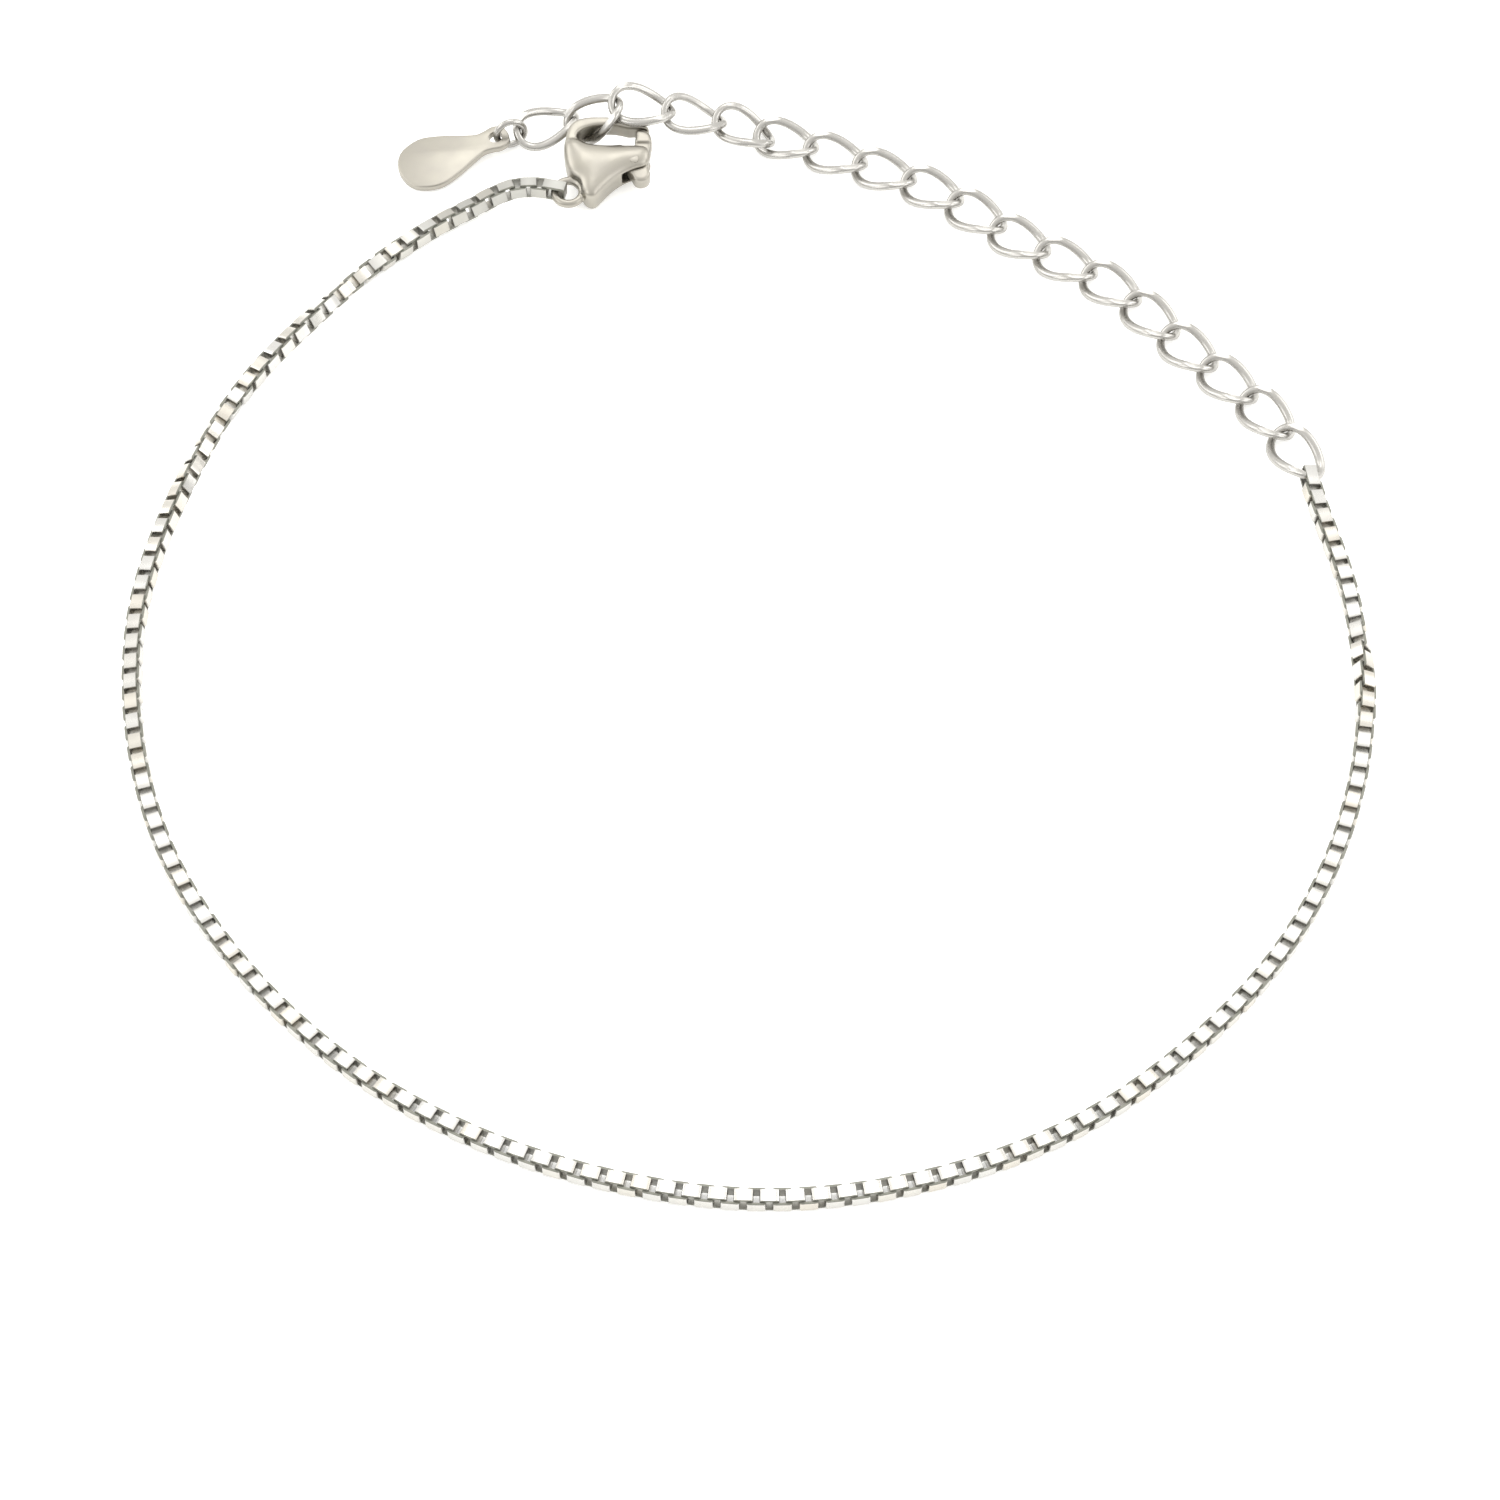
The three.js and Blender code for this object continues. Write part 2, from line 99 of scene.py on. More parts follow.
# Distance along the chain, degrees that it is rolled about its own line, and its lift.
CHAIN_ROLL = (
    (0, -182, 0.6),
    (3, -188, 0.55),
    (6, -202, 0.15),
    (8, -196, 0),
    (10, -182, 0),
    (12, -164, 0),
    (15.5, -138, 0),
    (18, -120, 0),
    (21.3, -106, 0),
    (23.9, -90, 0),
    (25.8, -73, 0),
    (28, -55, 0),
    (30.5, -42, 0),
    (33, -29, 0),
    (35, -17, 0),
    (38, -10, 0),
    (47.5, -9, 0),
    (51.5, -4, 0),
    (56, 0, 0),
    (143, 0, 0),
    (145, -16, 0),
    (147, -38, 0),
    (149, -68, 0),
    (151, -84, 0),
    (156, -94, 0),
    (160, -102, 0),
    (162, -116, 0),
)

# Distance along the chain and how dull its faces are beside the clasp: rougher metal, with painted
# shade mixed into their colour.
CHAIN_DULLNESS_AND_SHADE = (
    (0, 0.5),
    (6, 0.45),
    (9, 0.2),
    (14, 0),
)

# How dull a box link is on the band's cut edges and inside: rougher metal, and painted shade mixed
# into its colour.
CUT_EDGE_DULLNESS_AND_SHADE = 1.0
INSIDE_DULLNESS_AND_SHADE = 0.5

# A box link: its bends, the chamfer of its rims and the slack between neighbours.
BEND_SEGMENTS = 2
RIM_CHAMFER = 0.03
LINK_SLACK = 0.06
# A rim is outer where it lies further out than this share of the link.
OUTER_SHARE = 0.86
# Each box link is turned by up to this many degrees, as loose links are.
LOOSE_TURN = 1.2
LOOSE_SEED = 7

# The extender's first links climb over the clasp's hook: place, then heading, pitch, roll.
CLIMBING_LINKS = (
    (-12.06, 43.83, 0.98, 23.5, 2, 1),
    (-9.2, 43.68, 1.83, 3, 32.5, 17),
    (-6.37, 44.01, 2.51, -5.5, -11, 3.5),
    (-3.31, 43.98, 1.68, 0.5, -18, -2.5),
    (-0.35, 43.61, 0.97, -26, -12.5, -7),
)

# Middle line of the rest of the extender, down to the box chain.
EXTENDER_ROUTE = (
    (2.13, 42.99, 0.59),
    (5.2, 41.75, 0.59),
    (10.7, 39.15, 0.59),
    (15.63, 35.44, 0.59),
    (20.93, 31.82, 0.59),
    (24.91, 27.43, 0.59),
    (29.12, 22.71, 0.59),
    (30.76, 19.82, 0.59),
)
ROUTE_LINKS = 13

# An oval link starts as a round ring of this radius.
OVAL_RING_RADIUS = 1.5
OVAL_RING_STEPS = 48
OVAL_WIRE_SIDES = 12
# How much wider the wire is pressed at the long sides of an oval link.
SIDE_WIDENING = 0.25

# The clasp in its own plane: the tilt raises its hook end.
CLASP_PLACE = (-8.35, 40.9, 1.33)
CLASP_TILT = 7
PIVOT = (1.55, -0.55)
EYE = (-2.28, -2.3)
EYE_RING_RADIUS = 0.8
EYE_WIRE_RADIUS = 0.25
EYE_RING_STEPS = 40
MOUTH = (-0.12, 1.35)
MOUTH_HALF_SIZE = (1.72, 0.72)
MOUTH_SIDES = 48
# The slot for the lever, and the reach of the lever's swing that the hook leaves free.
SLOT = ((0.85, -2.2, -0.53), (3.2, 1, 0.53))
SWING_RADIUS = 2.42
SWING_SIDES = 64
SWING_SIDE = ((0.85, -3, -2), (4, 3, 2))
# The lever's end that closes the hook is as thick as the hook.
FINGER = ((0, 0.85, -2), (4, 4, 2))
RIVET_RADIUS = 0.28
RIVET_HOLE_RADIUS = 0.33
RIVET_INSET = 0.02
RIVET_CHAMFER = 0.06
RIVET_CHAMFER_SEGMENTS = 2
CUTTER_DEPTH = 4
CYLINDER_SIDES = 32

# How the casting is softened: added thickness that the smoothing takes off again, the
# rounding of each rough shape, rounds of smoothing, and the swell of the housing.
HOUSING_ALLOWANCE = 0.25
ROUGH_ROUNDING = 0.1
LEVER_ROUNDING = 0.2
ROUNDING_SEGMENTS = 3
HOUSING_SMOOTHING = 12
SWELL_SMOOTHING = 70
HOOK_SMOOTHING = 10
BODY_SMOOTHING = 30
LAST_SMOOTHING = 8
LEVER_SMOOTHING = 4
SWELL_REACH = 1.9
SWELL_RIM_SHARE = 0.55

# Outlines in the clasp's own plane.
HOUSING_OUTLINE = (
    (-2.5, 0.95),
    (-2.5, -0.5),
    (-2.25, -1.3),
    (-1.75, -1.85),
    (-1.55, -2.5),
    (-1.25, -3.0),
    (-0.75, -3.1),
    (-0.3, -2.6),
    (0.4, -1.8),
    (1.1, -1.3),
    (1.7, -1.05),
    (2.25, -0.85),
    (2.5, -0.4),
    (2.5, 0.2),
    (2.2, 0.55),
    (1.5, 0.6),
    (0, 0.6),
    (-1.3, 0.75),
    (-1.8, 1.05),
)
HOOK_OUTLINE = (
    (-1.5, 0),
    (1.5, 0),
    (2.5, 0.2),
    (2.58, 1.2),
    (2.4, 1.9),
    (1.8, 2.35),
    (0.8, 2.6),
    (-0.5, 2.68),
    (-1.6, 2.58),
    (-2.25, 2.15),
    (-2.5, 1.3),
    (-2.52, 0.3),
)
LEVER_OUTLINE = (
    (1.0, -0.6),
    (1.15, -1.0),
    (1.4, -1.35),
    (1.6, -1.7),
    (1.95, -1.8),
    (2.35, -1.65),
    (2.5, -1.25),
    (2.4, -0.8),
    (2.4, -0.3),
    (2.5, 0.4),
    (2.56, 1.1),
    (2.35, 1.6),
    (2.05, 1.75),
    (1.65, 1.68),
    (1.6, 1.2),
    (1.5, 0.6),
    (1.2, 0.1),
    (1.0, -0.25),
)

# Teardrop tag, one side of its outline from the wide end to the eye end.
TAG_HALF_OUTLINE = (
    (-1.83, 0),
    (-1.35, 1.33),
    (0, 1.9),
    (1.2, 1.62),
    (2.1, 1.22),
    (2.8, 0.9),
    (3.3, 0.72),
    (3.8, 0.76),
    (4.3, 0.86),
    (4.85, 0.66),
    (5.05, 0),
)
TAG_HOLE = (4.25, 0)
TAG_ROUNDING = 0.1
TAG_PLACE = (-18.95, 41.35, 0.18, 21.9, 5.5, 0)
TAG_RING_RADIUS = 0.85
TAG_RING_WIRE_RADIUS = 0.2
TAG_RING_STEPS = 48
TAG_RING_PLACE = (-14.17, 43.18, 1.05, 15.5, 2, 82.5)
# Sides of the wire of the clasp's eye ring and of the tag's ring.
RING_WIRE_SIDES = 14

# The camera as it stood for the photograph, in the coordinates of the tables.
CAMERA_PLACE = (0, -125.147, 193.210)
CAMERA_TARGET = (0, 0, 0.5)
CAMERA_LENS = 102.5
CAMERA_SENSOR = 36
CAMERA_CLIP_START = 0.01

# The studio, in metres and watts: place, size and power of each softbox.
SOFTBOXES = (
    ((0, 0.33, 0.50), 0.34, 0.68),
    ((-0.65, -0.3, 0.45), 0.45, 1.15),
    ((-0.65, 0.3, 0.45), 0.45, 1.15),
    ((0.65, -0.3, 0.45), 0.45, 1.15),
    ((0.65, 0.3, 0.45), 0.45, 1.15),
)

# The white tent is brightest towards this direction and dims away from it. The fade gives
# the cosines at which it is dim and bright.
TENT_BRIGHT_WAY = (0, 0.45, 0.89)
TENT_FADE = (-0.1, 0.9)
TENT_DIM = 0.95
TENT_BRIGHT = 1.4

# The table is lit from below as well, which leaves only faint shadows under the chain.
TABLE_GLOW = 0.4
TABLE_SIZE = 1.5


class ChainSizes(bpy.types.PropertyGroup):
    """Sizes of the box chain and of the extender's oval links."""

    link_count: bpy.props.IntProperty(
        name="Box links",
        description="Square links round the whole chain",
        default=244,
        min=4,
    )
    link_side: bpy.props.FloatProperty(
        name="Box link side",
        description="Outer side of a square link across the chain",
        default=1.0 * MM,
        unit="LENGTH",
    )
    band_thickness: bpy.props.FloatProperty(
        name="Band thickness",
        description="Thickness of the flat band that a square link is bent from",
        default=0.14 * MM,
        unit="LENGTH",
    )
    corner_radius: bpy.props.FloatProperty(
        name="Link corner",
        description="Outer radius of a square link's bends",
        default=0.12 * MM,
        unit="LENGTH",
    )
    end_link_extra: bpy.props.FloatProperty(
        name="End link extra",
        description="How much longer the end links are, to hold the eye and the extender",
        default=0.45 * MM,
        unit="LENGTH",
    )
    wire_diameter: bpy.props.FloatProperty(
        name="Oval wire",
        description="Diameter of the extender's wire",
        default=0.46 * MM,
        unit="LENGTH",
    )
    oval_length: bpy.props.FloatProperty(
        name="Oval length",
        description="Outer length of an oval link",
        default=4.12 * MM,
        unit="LENGTH",
    )
    oval_width: bpy.props.FloatProperty(
        name="Oval width",
        description="Outer width of an oval link",
        default=2.86 * MM,
        unit="LENGTH",
    )
    oval_twist: bpy.props.FloatProperty(
        name="Oval twist",
        description="Height of the twist that lets the oval links lie flat",
        default=0.36 * MM,
        unit="LENGTH",
    )
    facet_height: bpy.props.FloatProperty(
        name="Facet height",
        description="Height at which the twisted links are filed flat",
        default=0.52 * MM,
        unit="LENGTH",
    )


class ClaspSizes(bpy.types.PropertyGroup):
    """Sizes of the lobster clasp and of the tag."""

    housing_thickness: bpy.props.FloatProperty(
        name="Housing thickness",
        description="Thickness of the clasp's housing",
        default=2.0 * MM,
        unit="LENGTH",
    )
    hook_thickness: bpy.props.FloatProperty(
        name="Hook thickness",
        description="Thickness of the hook round the clasp's mouth",
        default=1.25 * MM,
        unit="LENGTH",
    )
    lever_thickness: bpy.props.FloatProperty(
        name="Lever thickness",
        description="Thickness of the lever with the thumb tab",
        default=0.98 * MM,
        unit="LENGTH",
    )
    casting_detail: bpy.props.FloatProperty(
        name="Casting detail",
        description="Size of the cells that the cast clasp is smoothed over",
        default=0.055 * MM,
        unit="LENGTH",
    )
    tag_thickness: bpy.props.FloatProperty(
        name="Tag thickness",
        description="Thickness of the teardrop tag",
        default=0.45 * MM,
        unit="LENGTH",
    )
    tag_hole_radius: bpy.props.FloatProperty(
        name="Tag hole radius",
        description="Radius of the hole at the tag's narrow end",
        default=0.42 * MM,
        unit="LENGTH",
    )


class BraceletColours(bpy.types.PropertyGroup):
    """Colours of the silver and of the studio, as sRGB hex values."""

    polished: bpy.props.StringProperty(
        name="Polished silver",
        description="Colour of the box chain's bright tumbled silver, as sRGB hex",
        default="#CCCBC8",
    )
    polished_warm: bpy.props.StringProperty(
        name="Polished silver, warm",
        description="The warmest tone that a box link's silver takes, as sRGB hex",
        default="#CBC6BC",
    )
    wire: bpy.props.StringProperty(
        name="Silver wire",
        description="Colour of the extender's drawn wire, as sRGB hex",
        default="#B1AFAB",
    )
    satin: bpy.props.StringProperty(
        name="Satin silver",
        description="Colour of the cast clasp and the tag, as sRGB hex",
        default="#A6A298",
    )
    satin_cloud: bpy.props.StringProperty(
        name="Satin silver, clouded",
        description="The tone that the satin silver clouds over to, as sRGB hex",
        default="#A39F97",
    )
    # Painted shade: this grey is mixed into the box links' colour on the band's cut edges, inside
    # the links and beside the clasp.
    painted_shade: bpy.props.StringProperty(
        name="Tarnish",
        description="Colour of the dulled silver on the band's cut edges, as sRGB hex",
        default="#87877F",
    )
    floor: bpy.props.StringProperty(
        name="Floor",
        description="Colour of the pale surface, as sRGB hex",
        default="#F7F7F6",
    )
    tent: bpy.props.StringProperty(
        name="Tent",
        description="Colour of the light tent's cloth, as sRGB hex",
        default="#FBFAF7",
    )


class BraceletSettings(bpy.types.PropertyGroup):
    """Everything a user would change."""

    chain: bpy.props.PointerProperty(
        name="Chain", description="Sizes of the chain", type=ChainSizes
    )
    clasp: bpy.props.PointerProperty(
        name="Clasp", description="Sizes of the clasp and tag", type=ClaspSizes
    )
    colours: bpy.props.PointerProperty(
        name="Colours", description="Colours of silver and studio", type=BraceletColours
    )
    exposure: bpy.props.FloatProperty(
        name="Light",
        description="Brightness of the studio light",
        default=1.0,
        min=0.0,
    )


def in_mm(length):
    """A property's length in millimetres."""
    return length / MM


def turned(heading, pitch, roll):
    """Heading in plan, pitch up along the heading and roll about it, in degrees."""
    return (
        Matrix.Rotation(math.radians(heading), 4, "Z")
        @ Matrix.Rotation(math.radians(-pitch), 4, "Y")
        @ Matrix.Rotation(math.radians(roll), 4, "X")
    )


def placed(place):
    """The matrix of a row that holds a place, a heading, a pitch and a roll."""
    return Matrix.Translation(place[:3]) @ turned(*place[3:])


def clasp_matrix():
    """Where the clasp's own plane lies."""
    return Matrix.Translation(CLASP_PLACE) @ Matrix.Rotation(
        math.radians(CLASP_TILT), 4, "X"
    )


def centring_shift():
    """How far the finished part is moved from the tables' coordinates, in millimetres."""
    low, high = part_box("clasp_rivet")
    rivet = clasp_matrix() @ Vector((*PIVOT, 0))
    return (low + high) / 2 / MM - rivet


SHIFT = centring_shift()


# Lines and outlines


def curve_point(before, start, end, after, share):
    """A point of the centripetal curve between start and end."""
    first_step = (start - before).length ** 0.5
    step = (end - start).length ** 0.5
    last_step = (after - end).length ** 0.5
    leaving = step * (
        (start - before) / first_step
        - (end - before) / (first_step + step)
        + (end - start) / step
    )
    arriving = step * (
        (end - start) / step
        - (after - start) / (step + last_step)
        + (after - end) / last_step
    )
    square = -3 * start + 3 * end - 2 * leaving - arriving
    cube = 2 * start - 2 * end + leaving + arriving
    return start + leaving * share + square * share**2 + cube * share**3


def smooth_points(points, per_span, closed=False):
    """Points along a smooth line through the given ones."""
    knots = [Vector(p) for p in points]
    if closed:
        ring = [knots[-1], *knots, knots[0], knots[1]]
    else:
        ring = [2 * knots[0] - knots[1], *knots, 2 * knots[-1] - knots[-2]]
    made = []
    for i in range(len(ring) - 3):
        for step in range(per_span):
            made.append(curve_point(*ring[i : i + 4], step / per_span))
    if not closed:
        made.append(knots[-1])
    return made


class Line:
    """A smooth line through points, measured along its length."""

    def __init__(self, points):
        self.points = smooth_points(points, ROUTE_POINTS)
        self.along = [0.0]
        for a, b in zip(self.points, self.points[1:]):
            self.along.append(self.along[-1] + (b - a).length)
        self.length = self.along[-1]

    def point(self, along):
        """The point at a distance along the line."""
        along = min(max(along, 0.0), self.length)
        i = min(max(bisect.bisect_left(self.along, along), 1), len(self.along) - 1)
        span = self.along[i] - self.along[i - 1]
        return self.points[i - 1].lerp(
            self.points[i], (along - self.along[i - 1]) / span
        )


def table_value(rows, along, column):
    """A value between the rows of a table whose first column is the distance along."""
    if along <= rows[0][0]:
        return rows[0][column]
    for start, end in zip(rows, rows[1:]):
        if along <= end[0]:
            share = (along - start[0]) / (end[0] - start[0])
            return start[column] + (end[column] - start[column]) * share
    return rows[-1][column]


# Finishing a piece


def mesh_from(bm, name):
    """The finished bmesh as a mesh of that name."""
    mesh = bpy.data.meshes.new(name)
    bm.to_mesh(mesh)
    bm.free()
    return mesh


def finish_piece(name, mesh, material, stands_for, place=None, edge=EDGE_ANGLE):
    """Puts a mesh made in millimetres in its place in metres, as a piece of the bracelet."""
    if place:
        mesh.transform(place)
    mesh.transform(Matrix.Scale(MM, 4) @ Matrix.Translation(SHIFT))
    mesh.shade_smooth()
    mesh.set_sharp_from_angle(angle=math.radians(edge))
    mesh.materials.clear()
    mesh.materials.append(material)
    piece = bpy.data.objects.new(name, mesh)
    bpy.context.scene.collection.objects.link(piece)
    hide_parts(stands_for)
    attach(piece, "lever" if stands_for == "clasp_lever" else "bracelet")


def bevel_edges(bm, edges, width, segments, clamp=False):
    """Rounds edges, or cuts them off flat where there is one segment."""
    bmesh.ops.bevel(
        bm,
        geom=edges,
        offset=width,
        affect="EDGES",
        segments=segments,
        profile=0.5,
        material=-1,
        clamp_overlap=clamp,
    )


def with_modifiers(mesh, settings):
    """The mesh with modifiers applied; each is (kind, its settings)."""
    carrier = bpy.data.objects.new("in_work", mesh)
    bpy.context.scene.collection.objects.link(carrier)
    for kind, values in settings:
        modifier = carrier.modifiers.new(kind.title(), kind)
        for key, value in values.items():
            setattr(modifier, key, value)
    graph = bpy.context.evaluated_depsgraph_get()
    made = bpy.data.meshes.new_from_object(carrier.evaluated_get(graph))
    bpy.data.objects.remove(carrier)
    return made


# Materials


def linear_colour(hex_colour):
    """An sRGB hex value as a linear colour."""
    made = []
    for i in (1, 3, 5):
        value = int(hex_colour[i : i + 2], 16) / 255
        made.append(
            value / 12.92 if value <= 0.04045 else ((value + 0.055) / 1.055) ** 2.4
        )
    return (*made, 1.0)


def add_node(tree, kind, settings=None, inputs=None, links=None):
    """Adds a node, sets it, gives its inputs their values and links them."""
    node = tree.nodes.new(kind)
    for key, value in (settings or {}).items():
        setattr(node, key, value)
    for key, value in (inputs or {}).items():
        node.inputs[key].default_value = value
    for key, (source, output) in (links or {}).items():
        tree.links.new(source.outputs[output], node.inputs[key])
    return node


def new_material(name):
    """An empty material and its tree."""
    material = bpy.data.materials.new(name)
    material.use_nodes = True
    material.node_tree.nodes.clear()
    return material, material.node_tree


def noise(tree, scale, detail, roughness=0.5):
    """A noise that is fixed to the piece."""
    where = add_node(tree, "ShaderNodeTexCoord")
    return add_node(
        tree,
        "ShaderNodeTexNoise",
        inputs={"Scale": scale, "Detail": detail, "Roughness": roughness},
        links={"Vector": (where, "Object")},
    )


def spread(tree, cloud, low, high):
    """Spreads a noise, which keeps near its middle, over the values from low to high."""
    return add_node(
        tree,
        "ShaderNodeMapRange",
        inputs={"From Min": 0.3, "From Max": 0.7, "To Min": low, "To Max": high},
        links={"Value": (cloud, "Fac")},
    )


def bumps(tree, relief, strength, height):
    """A surface raised by a noise, its height in metres."""
    return add_node(
        tree,
        "ShaderNodeBump",
        inputs={"Strength": strength, "Distance": height},
        links={"Height": (relief, "Fac")},
    )


def surface(tree, values, links):
    """The shader and the material's output."""
    shader = add_node(tree, "ShaderNodeBsdfPrincipled", inputs=values, links=links)
    add_node(tree, "ShaderNodeOutputMaterial", links={"Surface": (shader, "BSDF")})


def tumble_polished_silver(colours):
    """Sterling silver, tumble polished: mirror-like, softened by hair-fine scratches.

    The eye sees clear reflections that break up a little from link to link, rougher metal
    on the inner faces, where no polishing steel reaches, and painted shade: a grey mixed into
    the colour on the cut edges, the inner faces and the links beside the clasp.
    """
    material, tree = new_material("tumble_polished_silver")
    cloud = noise(tree, scale=900, detail=2)
    scratches = noise(tree, scale=9000, detail=3, roughness=0.6)
    dullness_and_shade = add_node(tree, "ShaderNodeAttribute", {"attribute_name": "dullness_and_shade"})
    tone = add_node(tree, "ShaderNodeAttribute", {"attribute_name": "tone"})
    warm = add_node(
        tree,
        "ShaderNodeMix",
        {"data_type": "RGBA"},
        {
            "A": linear_colour(colours.polished),
            "B": linear_colour(colours.polished_warm),
        },
        {"Factor": (tone, "Fac")},
    )
    # Painted shade: where a face is marked dull, this grey is mixed into its colour.
    colour = add_node(
        tree,
        "ShaderNodeMix",
        {"data_type": "RGBA"},
        {"B": linear_colour(colours.painted_shade)},
        {"A": (warm, "Result"), "Factor": (dullness_and_shade, "Fac")},
    )
    clouded = spread(tree, cloud, 0.2, 0.34)
    dulled = add_node(
        tree,
        "ShaderNodeMath",
        {"operation": "MULTIPLY_ADD"},
        {1: 0.3},
        {0: (dullness_and_shade, "Fac"), 2: (clouded, "Result")},
    )
    relief = bumps(tree, scratches, 0.12, 0.00002)
    surface(
        tree,
        {"Metallic": 1.0},
        {
            "Base Color": (colour, "Result"),
            "Roughness": (dulled, "Value"),
            "Normal": (relief, "Normal"),
        },
    )
    return material


def drawn_silver_wire(colours):
    """Sterling silver wire, drawn, soldered into links and tumbled.

    The eye sees a softer, greyer gleam than on the cut faces of the box chain, and a faint
    waviness along the wire.
    """
    material, tree = new_material("drawn_silver_wire")
    cloud = noise(tree, scale=1200, detail=2)
    gleam = spread(tree, cloud, 0.22, 0.32)
    relief = bumps(tree, cloud, 0.2, 0.00003)
    surface(
        tree,
        {"Metallic": 1.0, "Base Color": linear_colour(colours.wire)},
        {"Roughness": (gleam, "Result"), "Normal": (relief, "Normal")},
    )
    return material


def satin_cast_silver(colours):
    """Sterling silver, cast and satin finished.

    The eye sees a soft warm sheen with no clear reflections, and a faint unevenness left by
    the casting.
    """
    material, tree = new_material("satin_cast_silver")
    cloud = noise(tree, scale=700, detail=2)
    grain = noise(tree, scale=14000, detail=2, roughness=0.6)
    tint = spread(tree, cloud, 0, 1)
    colour = add_node(
        tree,
        "ShaderNodeMix",
        {"data_type": "RGBA"},
        {
            "A": linear_colour(colours.satin),
            "B": linear_colour(colours.satin_cloud),
        },
        {"Factor": (tint, "Result")},
    )
    satin = spread(tree, cloud, 0.32, 0.42)
    relief = bumps(tree, grain, 0.15, 0.00001)
    surface(
        tree,
        {"Metallic": 1.0},
        {
            "Base Color": (colour, "Result"),
            "Roughness": (satin, "Result"),
            "Normal": (relief, "Normal"),
        },
    )
    return material


def opal_light_table(colours):
    """Opal acrylic, sanded matt and lit from below: even and pale, its shadows faint."""
    material, tree = new_material("opal_light_table")
    sanding = noise(tree, scale=3000, detail=2)
    relief = bumps(tree, sanding, 0.04, 0.00002)
    surface(
        tree,
        {
            "Base Color": linear_colour(colours.floor),
            "Roughness": 0.85,
            "Emission Color": linear_colour(colours.floor),
            "Emission Strength": TABLE_GLOW,
        },
        {"Normal": (relief, "Normal")},
    )
    return material


def material_named(name, maker):
    """The material of that name, made when it is first asked for."""
    found = bpy.data.materials.get(name)
    return found or maker(bpy.context.scene.bracelet.colours)


def polished_silver():
    """The box chain's silver."""
    return material_named("tumble_polished_silver", tumble_polished_silver)


def wire_silver():
    """The silver of the extender and of the tag's ring."""
    return material_named("drawn_silver_wire", drawn_silver_wire)


def satin_silver():
    """The silver of the clasp and of the tag."""
    return material_named("satin_cast_silver", satin_cast_silver)


# Box chain


def mark_dullness_and_shade(bm):
    """Marks how dull a link's faces are and how much painted shade darkens their colour: most on
    the cut edges, less inside.
    """
    dullness_and_shade = bm.faces.layers.float.new("dullness_and_shade")
    for face in bm.faces:
        centre = face.calc_center_median()
        is_cut_edge = abs(face.normal.y) > 0.5
        faces_in = face.normal.dot(Vector((centre.x, 0, centre.z))) < 0
        if is_cut_edge:
            face[dullness_and_shade] = CUT_EDGE_DULLNESS_AND_SHADE
        elif faces_in:
            face[dullness_and_shade] = INSIDE_DULLNESS_AND_SHADE


def square_link(length, sizes):
    """A square ring of flat band: x along the chain, z towards its plates."""
    side = in_mm(sizes.link_side)
    thickness = in_mm(sizes.band_thickness)
    band_width = side - 2 * thickness
    bm = bmesh.new()
    bmesh.ops.create_cube(bm, size=1.0)
    bmesh.ops.scale(bm, vec=(length, band_width, side), verts=bm.verts)
    open_sides = [f for f in bm.faces if abs(f.normal.y) > 0.5]
    bmesh.ops.delete(bm, geom=open_sides, context="FACES_ONLY")
    bends = [e for e in bm.edges if len(e.link_faces) == 2]
    bevel_edges(bm, bends, in_mm(sizes.corner_radius), BEND_SEGMENTS)
    bmesh.ops.solidify(bm, geom=bm.faces[:], thickness=thickness)
    bmesh.ops.recalc_face_normals(bm, faces=bm.faces)
    rims = [e for e in bm.edges if is_outer_rim(e, length, side)]
    bevel_edges(bm, rims, RIM_CHAMFER, 1)
    mark_dullness_and_shade(bm)
    return mesh_from(bm, "square_link")


def is_outer_rim(edge, length, side):
    """Whether an edge runs round the outside of a square link, not across its band."""
    start, end = (vert.co for vert in edge.verts)
    middle = (start + end) / 2
    share = max(abs(middle.x) / (length / 2), abs(middle.z) / (side / 2))
    side_faces = [f for f in edge.link_faces if abs(f.normal.y) > 0.9]
    is_round = abs(start.y - end.y) < 0.01
    return is_round and len(side_faces) == 1 and share > OUTER_SHARE


